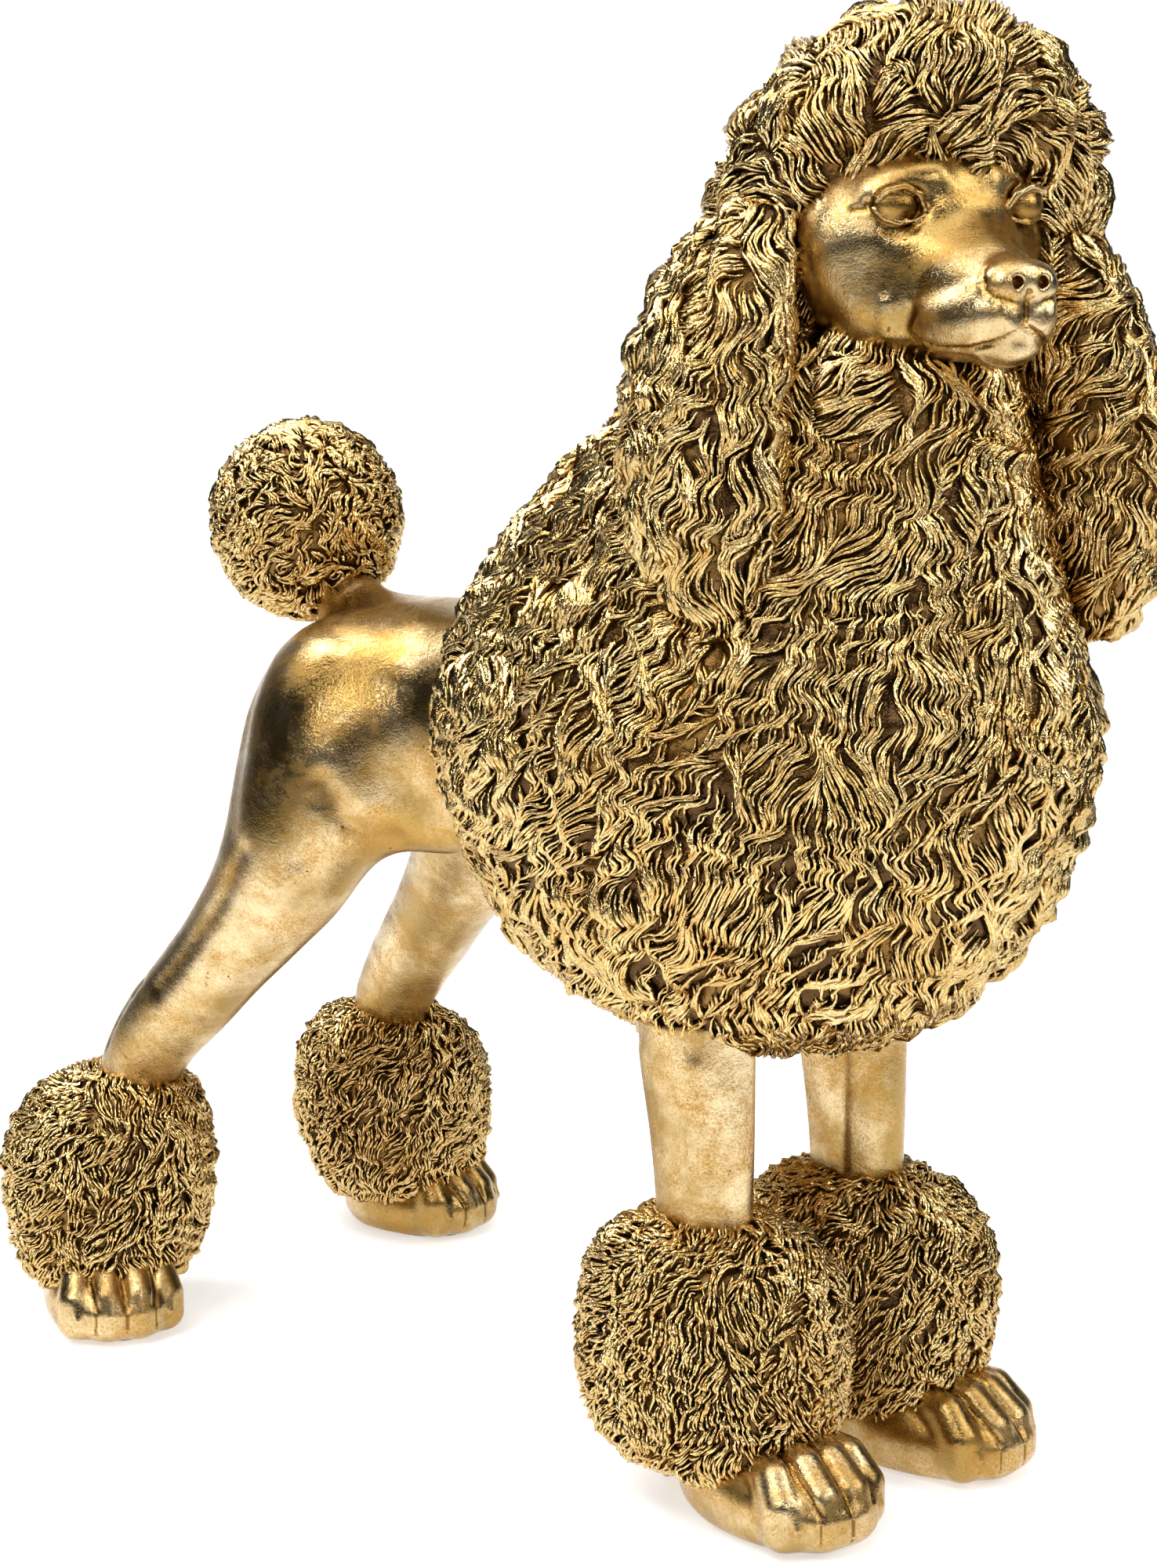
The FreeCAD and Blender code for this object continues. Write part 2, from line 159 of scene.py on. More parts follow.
# ---- clay: solids held as distances on a grid, in millimetres ---------------------------------
class Clay:
    """Negative inside, positive outside. Forms are added or carved with soft edges."""

    def __init__(self, low, high, cell):
        self.low = np.array(low, float)
        self.cell = cell
        self.count = [int(math.ceil((b - a) / cell)) + 1 for a, b in zip(low, high)]
        self.d = np.full(self.count, 9.0, np.float32)

    def window(self, low, high):
        """The cells between two corners, and their coordinates."""
        cut, axes = [], []
        for i in range(3):
            a = max(int((low[i] - self.low[i]) / self.cell), 0)
            b = min(int(math.ceil((high[i] - self.low[i]) / self.cell)) + 1, self.count[i])
            cut.append(slice(a, max(b, a)))
            axes.append((self.low[i] + self.cell * np.arange(a, max(b, a))).astype(np.float32))
        return tuple(cut), np.meshgrid(*axes, indexing="ij", sparse=True)

    def merge(self, cut, form, soft, carve):
        """Adds or carves a form's distances, rounding the join over the soft width."""
        old = self.d[cut]
        if carve:
            h = np.clip(0.5 - 0.5 * (old + form) / soft, 0, 1)
            self.d[cut] = old * (1 - h) - form * h + soft * h * (1 - h)
        else:
            h = np.clip(0.5 + 0.5 * (old - form) / soft, 0, 1)
            self.d[cut] = old * (1 - h) + form * h - soft * h * (1 - h)

    def ball(self, centre, radii, soft, carve=False, tilt=(0, 0, 0)):
        """An ellipsoid, tilted by degrees about X, Y and Z."""
        reach = max(radii) + soft + 2
        centre = np.array(centre, float)
        cut, (x, y, z) = self.window(centre - reach, centre + reach)
        x, y, z = x - centre[0], y - centre[1], z - centre[2]
        if any(tilt):
            turn = Matrix.Rotation(math.radians(tilt[2]), 3, "Z")
            turn = turn @ Matrix.Rotation(math.radians(tilt[1]), 3, "Y")
            turn = (turn @ Matrix.Rotation(math.radians(tilt[0]), 3, "X")).transposed()
            x, y, z = [row[0] * x + row[1] * y + row[2] * z for row in turn]
        a, b, c = radii
        near = np.sqrt((x / a) ** 2 + (y / b) ** 2 + (z / c) ** 2)
        slope = np.sqrt((x / a ** 2) ** 2 + (y / b ** 2) ** 2 + (z / c ** 2) ** 2) + 1e-6
        self.merge(cut, near * (near - 1) / slope, soft, carve)

    def block(self, centre, half, edge):
        """An upright-walled form with a squarish outline and rounded edges."""
        cut, (x, y, z) = self.window((-60, -60, -60), (60, 60, 60))
        x, y, z = (abs(a - c) for a, c in zip((x, y, z), centre))
        out = ((x / half[0]) ** 2.5 + (y / half[1]) ** 2.5) ** 0.4
        wall = (out - 1) * half[0] + edge
        top = z - half[2] + edge
        form = np.hypot(wall.clip(0), top.clip(0)) + np.minimum(np.maximum(wall, top), 0) - edge
        self.merge(cut, form, 1.0, False)

    def distance_to_line(self, points, radii, reach):
        """The cells within reach of a line, and how far each is from the line's round bar."""
        points = np.array(points, float)
        cut, (x, y, z) = self.window(points.min(axis=0) - reach, points.max(axis=0) + reach)
        best = None
        for p, q, r, s in zip(points[:-1], points[1:], radii[:-1], radii[1:]):
            run = q - p
            t = ((x - p[0]) * run[0] + (y - p[1]) * run[1] + (z - p[2]) * run[2]) / (run @ run)
            t = np.clip(t, 0, 1)
            gap = np.sqrt((x - p[0] - t * run[0]) ** 2 + (y - p[1] - t * run[1]) ** 2
                          + (z - p[2] - t * run[2]) ** 2) - (r + t * (s - r))
            best = gap if best is None else np.minimum(best, gap)
        return cut, best

    def bar(self, points, radii, soft):
        """A round bar along a line of points, with a radius at each."""
        cut, gap = self.distance_to_line(points, radii, max(radii) + soft + 2)
        self.merge(cut, gap, soft, False)

    def snout(self, stations, soft):
        """Upright ovals along -Y: how far forward, height, half-width and half-height of each."""
        stations = np.array(stations, float)
        ahead = np.linspace(stations[0, 0], stations[-1, 0], 81)
        middle, wide, tall = (np.interp(ahead, stations[:, 0], stations[:, i]) for i in (1, 2, 3))
        for _ in range(6):
            for row in (middle, wide, tall):
                row[1:-1] = (row[:-2] + row[1:-1] + row[2:]) / 3
        cut, (x, y, z) = self.window((-40, -stations[-1, 0] - 8, 280), (40, -stations[0, 0], 360))
        middle, wide, tall = (np.interp(-y, ahead, row) for row in (middle, wide, tall))
        form = (np.sqrt((x / wide) ** 2 + ((z - middle) / tall) ** 2) - 1) * np.minimum(wide, tall)
        form = np.maximum(form, -y - stations[-1, 0])
        self.merge(cut, form, soft, False)

    def settle(self, points):
        """A line of points, divided finely and moved on to the surface."""
        line = [np.array(points[0], float)]
        for a, b in zip(points[:-1], points[1:]):
            a, b = np.array(a, float), np.array(b, float)
            parts = max(1, int(np.linalg.norm(b - a) / 1.5))
            line += [a + (b - a) * (i + 1) / parts for i in range(parts)]
        line = np.array(line)
        for _ in range(8):
            index = ((line - self.low) / self.cell).round().astype(int)
            i, j, k = np.clip(index, 1, np.array(self.count) - 2).T
            slope = np.stack([self.d[i + 1, j, k] - self.d[i - 1, j, k],
                              self.d[i, j + 1, k] - self.d[i, j - 1, k],
                              self.d[i, j, k + 1] - self.d[i, j, k - 1]], axis=1)
            slope /= np.linalg.norm(slope, axis=1, keepdims=True) + 1e-6
            line -= 0.7 * self.d[i, j, k][:, None] * slope
        return line

    def stroke(self, points, width, depth):
        """Presses a soft groove along a line on the surface; a negative depth raises a ridge."""
        line = self.settle(points)
        cut, gap = self.distance_to_line(line, [0.0] * len(line), 3 * width)
        self.d[cut] += depth * np.exp(-(gap / width) ** 2)

    def soften(self, low, high, fade):
        """Rounds every crease between two heights, fading in and out over a distance."""
        smooth = self.d.copy()
        for step in (1, 2, 3, 4, 4):
            for axis in range(3):
                smooth = (np.roll(smooth, step, axis) + smooth + np.roll(smooth, -step, axis)) / 3
        height = self.low[2] + self.cell * np.arange(self.count[2], dtype=np.float32)
        share = np.interp(height, (low, low + fade, high - fade, high), (0, 1, 1, 0)).astype(np.float32)
        self.d += (smooth - self.d) * share[None, None, :]

    def cavity(self, points):
        """How far each point lies in a hollow: above 0 in creases, below 0 on ridges."""
        blur = self.d.clip(-6, 6)
        for _ in range(3):
            for axis in range(3):
                blur = (np.roll(blur, 1, axis) + blur + np.roll(blur, -1, axis)) / 3
        index = ((points - self.low) / self.cell).round().astype(int)
        index = np.clip(index, 0, np.array(self.count) - 1)
        i, j, k = index.T
        return (self.d[i, j, k] - blur[i, j, k]) / self.cell

    def surface(self):
        """The surface as points and faces."""
        grid = openvdb.FloatGrid(9.0)
        grid.copyFromArray(self.d)
        points, triangles, quads = grid.convertToPolygons(isovalue=0.0)
        points = points * self.cell + self.low
        return points, quads.tolist() + triangles.tolist()


def node_polygons(node):
    """A CAD node's points, in millimetres, and triangles."""
    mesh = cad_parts[node].data
    mesh.calc_loop_triangles()
    points = np.empty(len(mesh.vertices) * 3, np.float32)
    mesh.vertices.foreach_get("co", points)
    triangles = np.empty(len(mesh.loop_triangles) * 3, np.int32)
    mesh.loop_triangles.foreach_get("vertices", triangles)
    return points.reshape(-1, 3) / MM, triangles.reshape(-1, 3).astype(np.uint32)


def hull_polygons(node):
    """The convex hull of a CAD node: its outer form with the holes for its neighbours filled."""
    points, _ = node_polygons(node)
    shell = bmesh.new()
    for p in points:
        shell.verts.new(p)
    bmesh.ops.convex_hull(shell, input=shell.verts)
    loose = [v for v in shell.verts if not v.link_faces]
    bmesh.ops.delete(shell, geom=loose, context="VERTS")
    bmesh.ops.triangulate(shell, faces=shell.faces)
    shell.verts.index_update()
    corners = np.array([v.co for v in shell.verts], np.float32)
    triangles = np.array([[v.index for v in f.verts] for f in shell.faces], np.uint32)
    shell.free()
    return corners, triangles


def clay_around(low, high, cell, margin=5.0):
    """Empty clay that holds a box given in metres."""
    return Clay(np.array(low) / MM - margin, np.array(high) / MM + margin, cell)


def press_in(clay, points, triangles, soft):
    """Adds a closed mesh to the clay."""
    transform = openvdb.createLinearTransform(voxelSize=clay.cell)
    transform.postTranslate(clay.low.tolist())
    make = openvdb.FloatGrid.createLevelSetFromPolygons
    grid = make(points, triangles, transform=transform, halfWidth=8.0 / clay.cell)
    form = np.empty(clay.count, np.float32)
    grid.copyToArray(form, (0, 0, 0))
    clay.merge((slice(None),) * 3, form, soft, False)


# ---- pieces ---------------------------------------------------------------------------------
def add_piece(name, points, faces, material, nodes, values, placing=None):
    """A mesh from millimetre points, standing for CAD nodes; values are per-point numbers."""
    points = np.asarray(points, float)
    if placing is not None:
        turn = np.array(placing.to_3x3())
        points = points @ turn.T + np.array(placing.translation)
    mesh = bpy.data.meshes.new(name)
    mesh.from_pydata((points * MM).tolist(), [], faces)
    for key, data in values.items():
        numbers = mesh.attributes.new(key, "FLOAT", "POINT").data
        numbers.foreach_set("value", np.asarray(data, np.float32))
    mesh.shade_smooth()
    mesh.materials.append(material)
    piece = bpy.data.objects.new(name, mesh)
    bpy.context.collection.objects.link(piece)
    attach(piece, "root")
    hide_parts(*nodes)


def add_clay(name, clay, material, nodes, placing=None):
    """A smooth piece from finished clay."""
    points, faces = clay.surface()
    # the cavity drives the painted shade in the gold's hollows and creases
    values = {"cavity": clay.cavity(points)}
    add_piece(name, points, faces, material, nodes, values, placing)


# ---- materials ------------------------------------------------------------------------------
class Nodes:
    """Short calls for building a material's node tree."""

    def __init__(self, name):
        self.material = bpy.data.materials.new(name)
        self.material.use_nodes = True
        self.tree = self.material.node_tree
        self.shader = self.tree.nodes["Principled BSDF"]

    def link(self, source, target):
        self.tree.links.new(source, target)

    def value(self, name):
        """The per-point number that a piece's mesh holds under a name."""
        node = self.tree.nodes.new("ShaderNodeAttribute")
        node.attribute_name = name
        return node.outputs["Fac"]

    def place(self):
        return self.tree.nodes.new("ShaderNodeTexCoord").outputs["Object"]

    def noise(self, scale, detail, roughness=0.55, distortion=0.0, rise=1.0):
        """Soft random patches; rise squeezes them upright, into level streaks."""
        node = self.tree.nodes.new("ShaderNodeTexNoise")
        node.inputs["Scale"].default_value = scale
        node.inputs["Detail"].default_value = detail
        node.inputs["Roughness"].default_value = roughness
        node.inputs["Distortion"].default_value = distortion
        squeeze = self.tree.nodes.new("ShaderNodeMapping")
        squeeze.inputs["Scale"].default_value = (1, 1, rise)
        self.link(self.place(), squeeze.inputs["Vector"])
        self.link(squeeze.outputs["Vector"], node.inputs["Vector"])
        return node.outputs["Fac"]

    def ramp(self, source, *stops):
        """A colour ramp of (position, colour) stops."""
        node = self.tree.nodes.new("ShaderNodeValToRGB")
        steps = node.color_ramp.elements
        while len(steps) < len(stops):
            steps.new(0.5)
        for step, (position, colour) in zip(steps, stops):
            step.position = position
            step.color = (*colour, 1)
        self.link(source, node.inputs["Fac"])
        return node.outputs["Color"]

    def span(self, source, low, high, to_low=0.0, to_high=1.0):
        """A number's stretch from low to high moved on to another."""
        node = self.tree.nodes.new("ShaderNodeMapRange")
        for key, number in zip(("From Min", "From Max", "To Min", "To Max"), (low, high, to_low, to_high)):
            node.inputs[key].default_value = number
        self.link(source, node.inputs["Value"])
        return node.outputs["Result"]

    def mix(self, share, first, second):
        node = self.tree.nodes.new("ShaderNodeMix")
        node.data_type = "RGBA"
        for key, given in (("Factor", share), ("A", first), ("B", second)):
            socket = node.inputs[key]
            if isinstance(given, (int, float)):
                socket.default_value = given
            elif isinstance(given, tuple):
                socket.default_value = (*given, 1)
            else:
                self.link(given, socket)
        return node.outputs["Result"]

    def maths(self, kind, first, second):
        node = self.tree.nodes.new("ShaderNodeMath")
        node.operation = kind
        for socket, given in zip(node.inputs, (first, second)):
            if isinstance(given, (int, float)):
                socket.default_value = given
            else:
                self.link(given, socket)
        return node.outputs["Value"]

    def bump(self, height, depth, strength, below=None):
        node = self.tree.nodes.new("ShaderNodeBump")
        node.inputs["Strength"].default_value = strength
        node.inputs["Distance"].default_value = depth
        self.link(height, node.inputs["Height"])
        if below is not None:
            self.link(below, node.inputs["Normal"])
        return node.outputs["Normal"]


# the hair's light and dark strands, then the smooth gold's, then the amber, brown and umber of the rubbed
# streaks, speckles and pinholes, which also paint the shade in hollows and between the strands
PALE_GOLD = (1.0, 0.77, 0.38)
RICH_GOLD = (0.78, 0.52, 0.185)
SOFT_GOLD = (0.78, 0.61, 0.35)
DEEP_GOLD = (0.40, 0.265, 0.09)
AMBER = (0.50, 0.27, 0.055)
BROWN = (0.28, 0.15, 0.035)
UMBER = (0.09, 0.045, 0.012)


def smooth_gold():
    """Leaf-like gold over a dark base: grainy, rubbed thin in level streaks, with painted shade in amber
    and brown in the hollows and in umber in the deepest creases.
    """
    n = Nodes("satin_gold")
    grain = n.noise(1500, 3, 0.75)
    patches = n.span(n.noise(26, 5, 0.65), 0.40, 0.58)
    rubbed = n.span(n.noise(40, 6, 0.75, 0.6, rise=1.6), 0.45, 0.60)
    # painted shade: amber and brown darken the hollows, where shade falls
    hollow = n.span(n.value("cavity"), -0.02, 0.28)
    colour = n.mix(patches, SOFT_GOLD, DEEP_GOLD)
    colour = n.mix(n.maths("MULTIPLY", rubbed, n.span(grain, 0.32, 0.58)), colour, AMBER)
    colour = n.mix(n.span(grain, 0.50, 0.72, 0.0, 0.55), colour, BROWN)
    colour = n.mix(n.maths("MULTIPLY", hollow, 0.85), colour, n.mix(patches, AMBER, BROWN))
    # painted shade: umber darkens the deepest creases
    deep_crease_shade = n.span(n.value("cavity"), 0.30, 0.60)
    colour = n.mix(n.maths("MULTIPLY", deep_crease_shade, 0.6), colour, UMBER)
    pinhole = n.span(n.noise(420, 2, 0.6), 0.71, 0.75)
    colour = n.mix(n.maths("MULTIPLY", pinhole, 0.85), colour, UMBER)
    n.link(colour, n.shader.inputs["Base Color"])
    n.shader.inputs["Metallic"].default_value = 1.0
    rough = n.maths("ADD", n.span(rubbed, 0.0, 1.0, 0.10, 0.28), n.span(grain, 0.3, 0.8, 0.0, 0.14))
    n.link(rough, n.shader.inputs["Roughness"])
    dents = n.bump(n.noise(110, 4, 0.6), 0.0006, 0.45)
    n.link(n.bump(grain, 0.00016, 0.7, dents), n.shader.inputs["Normal"])
    return n.material


def hair_gold():
    """Gold on the crests of the carved strands, dark brown painted shade between them and down their sides.
    """
    n = Nodes("carved_gold")
    crest = n.value("crest")
    tone = n.value("tone")
    grain = n.noise(1300, 2, 0.7)
    patches = n.span(n.noise(35, 4), 0.42, 0.66)
    colour = n.mix(tone, RICH_GOLD, PALE_GOLD)
    colour = n.mix(n.maths("MULTIPLY", patches, 0.4), colour, AMBER)
    colour = n.mix(n.span(grain, 0.52, 0.75, 0.0, 0.5), colour, BROWN)
    # painted shade: low on the strands and in the grooves between them the colour turns dark umber and
    # brown
    gold_against_shade = n.span(crest, 0.10, 0.65)
    colour = n.mix(gold_against_shade, n.mix(patches, UMBER, BROWN), colour)
    n.link(colour, n.shader.inputs["Base Color"])
    n.link(n.span(gold_against_shade, 0.0, 0.5, 0.8, 1.0), n.shader.inputs["Metallic"])
    n.link(n.span(grain, 0.3, 0.8, 0.08, 0.25), n.shader.inputs["Roughness"])
    n.link(n.bump(grain, 0.00025, 0.9), n.shader.inputs["Normal"])
    return n.material


def felt():
    """Dark woollen felt."""
    n = Nodes("dark_felt")
    fibre = n.noise(1400, 5, 0.8, 1.5)
    wool = n.ramp(fibre, (0.3, (0.02, 0.018, 0.016)), (0.8, (0.09, 0.08, 0.07)))
    n.link(wool, n.shader.inputs["Base Color"])
    n.shader.inputs["Roughness"].default_value = 0.95
    n.shader.inputs["Sheen Weight"].default_value = 0.3
    n.link(n.bump(fibre, 0.0004, 0.8), n.shader.inputs["Normal"])
    return n.material


def cork():
    """Crumbly light brown cork."""
    n = Nodes("cork")
    crumbs = n.noise(700, 4, 0.7)
    bark = n.ramp(crumbs, (0.3, (0.22, 0.12, 0.06)), (0.6, (0.55, 0.38, 0.22)))
    n.link(bark, n.shader.inputs["Base Color"])
    n.shader.inputs["Roughness"].default_value = 0.85
    n.link(n.bump(crumbs, 0.0003, 0.7), n.shader.inputs["Normal"])
    return n.material


# ---- smooth pieces --------------------------------------------------------------------------
def make_hindquarters(gold):
    """Loin, rump, thighs and shanks in one skin, with the muscles and tendons modelled on it."""
    nodes = ("body", "hind_leg_left", "hind_leg_right", "tail_stem")
    boxes = [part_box(n) for n in nodes]
    low = [min(b[0][i] for b in boxes) for i in range(3)]
    high = [max(b[1][i] for b in boxes) for i in range(3)]
    clay = clay_around(low, high, 1.0, margin=16.0)
    for node in nodes:
        press_in(clay, *node_polygons(node), 7.0 if node.startswith("hind") else 4.0)
    # the hollow of the casting is filled
    (_, front, _), (_, back, top) = (np.array(c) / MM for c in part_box("body"))
    x = centre("body").x
    filling = [(x, front + 31, top - 38), (x, front + 60, top - 39), (x, back - 30, top - 45),
               (x, back - 20, top - 49)]
    clay.bar(filling, [28, 29, 27, 22], 1.0)
    for side in (-1, 1):
        clay.ball((STANCE.x + side * 20, STANCE.y + 58, 182), (17.5, 28, 29), 18)
        clay.bar([(STANCE.x + side * 27, STANCE.y + 40, 164), (STANCE.x + side * 17, STANCE.y + 16, 157)],
                 [10, 7], 8)
    clay.bar([(STANCE.x, STANCE.y + 66, 206), (STANCE.x, STANCE.y + 78, 214)], [13, 9], 8)
    clay.soften(128, 216, 22)
    for side in (-1, 1):
        model_muscles(clay, side)
    add_clay("hindquarters", clay, gold, nodes)


def model_muscles(clay, side):
    """Thigh, flank fold, shank tendon and hock of one side, from the middle of the stance."""
    def at(*places):
        return [(STANCE.x + side * x, STANCE.y + y, z) for x, y, z in places]

    clay.stroke(at((42, 44, 172), (40, 36, 162), (34, 26, 156)), 4.0, 1.0)
    clay.stroke(at((38, 82, 200), (50, 78, 176), (52, 74, 156)), 6.0, 0.8)
    clay.stroke(at((50, 66, 150), (52, 74, 136), (54, 88, 120), (56, 102, 104)), 3.2, 0.9)
    clay.stroke(at((44, 52, 146), (46, 64, 130), (48, 76, 116), (50, 90, 102)), 3.5, -0.7)
    for knob in at((48, 119, 97), (49, 123, 91)):
        clay.ball(knob, (4.2, 4.6, 6.0), 5)
    clay.stroke(at((54, 112, 102), (55, 118, 92), (55, 122, 82)), 2.0, 1.0)


def make_foreleg(side, gold):
    """A flat-sided shank with a soft edge down each corner."""
    node = "foreleg_" + side
    clay = clay_around(*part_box(node), 0.8)
    press_in(clay, *node_polygons(node), 0.5)
    middle = centre(node)
    for x, y in ((-8.5, -8.0), (8.5, -8.0), (-8.5, 9.0), (8.5, 9.0)):
        flare = ((0.95, 74), (1.0, 95), (1.1, 118))
        edge = [(middle.x + x * wider, middle.y + y * wider, z) for wider, z in flare]
        clay.stroke(edge, 2.6, -0.7)
    for x, y in ((0, -14), (0, 14), (-10, 0), (10, 0)):
        clay.stroke([(middle.x + x, middle.y + y, z) for z in (72, 95, 120)], 5.0, 0.5)
    add_clay("foreleg_skin_" + side, clay, gold, [node])


def make_paw(node, wide, long, tall, toe_out, gold):
    """A sole band with four rounded toes and small claws, from a half width, half length and height."""
    low, high = (Vector(c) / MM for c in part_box(node))
    middle = (low + high) / 2
    clay = Clay((-wide - 6, -long - 8, -2), (wide + 6, long + 6, tall + 8), 0.5)
    clay.block((0, 0, PAD_TOP + 0.27 * tall), (wide - 0.5, long - 0.8, 0.27 * tall), 5.5)
    clay.ball((0, 3, 0.38 * tall), (wide - 0.5, long - 4, 0.56 * tall), 6)
    clay.ball((0, 0.25 * long, 0.50 * tall), (0.80 * wide, 0.62 * long, 0.50 * tall), 6)
    tops = ((-0.70, 0.74, 0.46), (-0.24, 0.88, 0.52), (0.24, 0.88, 0.52), (0.70, 0.74, 0.46))
    for lateral, ahead, lift in tops:
        x, y = lateral * wide, -ahead * long
        toe = [(x * 0.60, 0.10 * long, (lift + 0.36) * tall), (x * 0.9, 0.55 * y, (lift + 0.24) * tall),
               (x, y + 5.0, (lift + 0.02) * tall), (x * 1.02, y + 4.6, 0.26 * tall)]
        clay.bar(toe, [3.8, 5.2, 5.6, 5.2], 2.2)
        claw = [(x * 1.02, y + 1.0, lift * tall), (x * 1.04, y - 1.4, (lift - 0.12) * tall)]
        clay.bar(claw, [1.8, 0.9], 0.8)
    for lateral, ahead in ((-0.50, 0.93), (0.0, 1.02), (0.50, 0.93)):
        x, y = lateral * wide, -ahead * long
        groove = [(x * 0.6, -0.05 * long, 0.95 * tall), (x * 0.9, 0.6 * y, 0.75 * tall), (x, y, 0.5 * tall)]
        clay.stroke(groove, 0.8, 1.3)
        clay.stroke([(x, y, 0.48 * tall), (x * 1.02, y, 0.14 * tall)], 0.5, 0.8)
    floor = clay.low[2] + clay.cell * np.arange(clay.count[2], dtype=np.float32)
    clay.d = np.maximum(clay.d, (PAD_TOP - floor)[None, None, :])
    placing = Matrix.Translation((middle.x, middle.y, 0)) @ Matrix.Rotation(toe_out, 4, "Z")
    add_clay(node + "_toes", clay, gold, [node], placing)


EYE = np.array((17.6, -15.8, 332.4))
EYE_HALF = np.array((5.7, 4.7, 5.0))


def make_face(gold):
    """The face, made facing -Y with the head's axis upright at the origin, then turned."""
    clay = Clay((-42, -56, 284), (42, 34, 358), 0.55)
    clay.ball((0, 0, 322), (34, 20.5, 28), 4)
    clay.ball((0, -5, 308), (26, 18, 14.5), 8)
    clay.ball((0, -6, 334), (20, 14.5, 13), 8)
    clay.snout([(4, 317, 23, 21), (14, 316.5, 20, 18), (22, 315, 16.4, 15.6), (31, 313, 12.8, 12.2),
                (38, 311.6, 10.6, 9.3), (42, 311.2, 9.2, 8.0), (45, 311.2, 6.5, 6.2)], 5)
    clay.snout([(4, 305, 19, 9), (20, 302.5, 13.5, 7.0), (32, 300.8, 9.6, 5.6), (37, 300.6, 7.6, 5.0)], 3)
    clay.ball((0, -36.5, 300.2), (9.0, 6.2, 4.8), 3)
    for side in (-1, 1):
        clay.ball((side * 5.9, -36.6, 307.2), (6.4, 10.0, 6.6), 4.0, tilt=(0, 0, -side * 8))
        clay.ball((side * 10.5, -29, 305.5), (5.5, 11, 6.5), 4, tilt=(0, 0, -side * 16))
        clay.stroke([(side * 9, -22, 341.5), (side * 16, -20, 341.5), (side * 24, -14, 337)], 3.6, -1.6)
        clay.stroke([(side * 13, -24, 324), (side * 24, -18, 324)], 5.0, -0.8)
        clay.stroke([(side * 10, -28, 326), (side * 15, -24, 317)], 5.0, 0.5)
    clay.ball((0, -41.8, 315.6), (8.0, 5.6, 4.8), 3.5)
    for side in (-1, 1):
        clay.ball((side * 5.0, -42.6, 314.6), (4.2, 4.2, 4.0), 2.5)
        make_eye(clay, side)
        make_mouth_side(clay, side)
        make_nostril(clay, side)
    clay.stroke([(0, -47.5, 312.6), (0, -46.2, 309.5), (0, -45.0, 305)], 0.7, 1.4)
    clay.stroke([(0, -20, 346), (0, -21, 338)], 5.0, 0.5)
    turn = Matrix.Translation(HEAD_AXIS) @ Matrix.Rotation(-FACE_TURN, 4, "Z")
    points, faces = clay.surface()
    # the cavity paints shade in the face's creases, darker the deeper they lie
    crease_shade_and_dark_eyes = clay.cavity(points)
    # the eyeballs are as dark as a deep hollow
    for side in (-1, 1):
        gap = np.linalg.norm((points - EYE * (side, 1, 1)) / EYE_HALF, axis=1)
        crease_shade_and_dark_eyes += 0.45 * np.clip((1.10 - gap) / 0.10, 0, 1)
    add_piece("face", points, faces, gold, ["head"], {"cavity": crease_shade_and_dark_eyes}, turn)


def make_eye(clay, side):
    """An almond eye with a lid above and below that meet in a fold at the outer corner."""
    x, y, z = EYE * (side, 1, 1)
    clay.ball((x, y - 5.0, z), (7.0, 5.4, 5.6), 1.6, carve=True, tilt=(0, 0, side * 24))
    clay.ball((x, y, z), EYE_HALF, 0.4)
    inner = (x - side * 6.8, y - 3.4, z - 2.2)
    outer = (x + side * 6.8, y + 0.6, z - 0.2)
    upper = [inner, (x - side * 4.0, y - 4.6, z + 2.6), (x, y - 4.5, z + 4.6),
             (x + side * 3.8, y - 2.9, z + 3.8), outer]
    lower = [inner, (x - side * 3.2, y - 3.8, z - 3.9), (x + side * 0.4, y - 3.4, z - 4.5),
             (x + side * 4.0, y - 1.9, z - 3.4), outer]
    clay.bar(upper, [0.6, 1.0, 1.25, 1.0, 0.6], 0.5)
    clay.bar(lower, [0.5, 0.6, 0.65, 0.6, 0.5], 0.5)
    fold = [(p[0], p[1] - 0.6, p[2] + 2.0) for p in upper[1:4]]
    clay.stroke(fold + [(x + side * 8.4, y + 2.0, z + 1.0)], 0.8, 1.2)
    clay.stroke([outer, (x + side * 9.5, y + 4.0, z - 1.0)], 0.7, 0.9)
    clay.stroke([(p[0], p[1], p[2] - 2.4) for p in lower[1:4]], 1.2, 0.6)


def make_nostril(clay, side):
    """A nostril with the wing beside it and the crease round the nose."""
    clay.ball((side * 3.5, -46.3, 315.0), (1.5, 2.2, 1.4), 0.8, carve=True)
    wing = [(side * 4.2, -45.5, 314.0), (side * 6.0, -44.0, 313.6), (side * 7.2, -41.5, 314.6)]
    clay.stroke(wing, 0.6, 0.8)
    clay.stroke([(side * 8.0, -40, 318), (side * 7.6, -42.5, 313.5), (side * 4.6, -45.2, 311.0)], 0.7, 0.7)


def make_mouth_side(clay, side):
    """The lips from the middle of the mouth back to the corner, and the cheek crease behind it."""
    line = [(0, -45.4, 304.6), (side * 4.0, -44.8, 302.4), (side * 9.0, -40.0, 300.0),
            (side * 13.0, -31.0, 299.4), (side * 16.4, -23.0, 301.6)]
    clay.stroke(line, 0.8, 2.0)
    clay.stroke([(p[0], p[1] + 0.6, p[2] + 2.2) for p in line[1:]], 1.6, -0.5)
    dimple = [(side * 16.4, -22.6, 307.5), (side * 17.4, -21.0, 303.5), (side * 16.2, -22.6, 300.5)]
    clay.stroke(dimple, 1.7, 1.3)
    clay.stroke([(side * 20.5, -18.0, 309), (side * 21, -17.5, 301)], 2.4, -0.9)


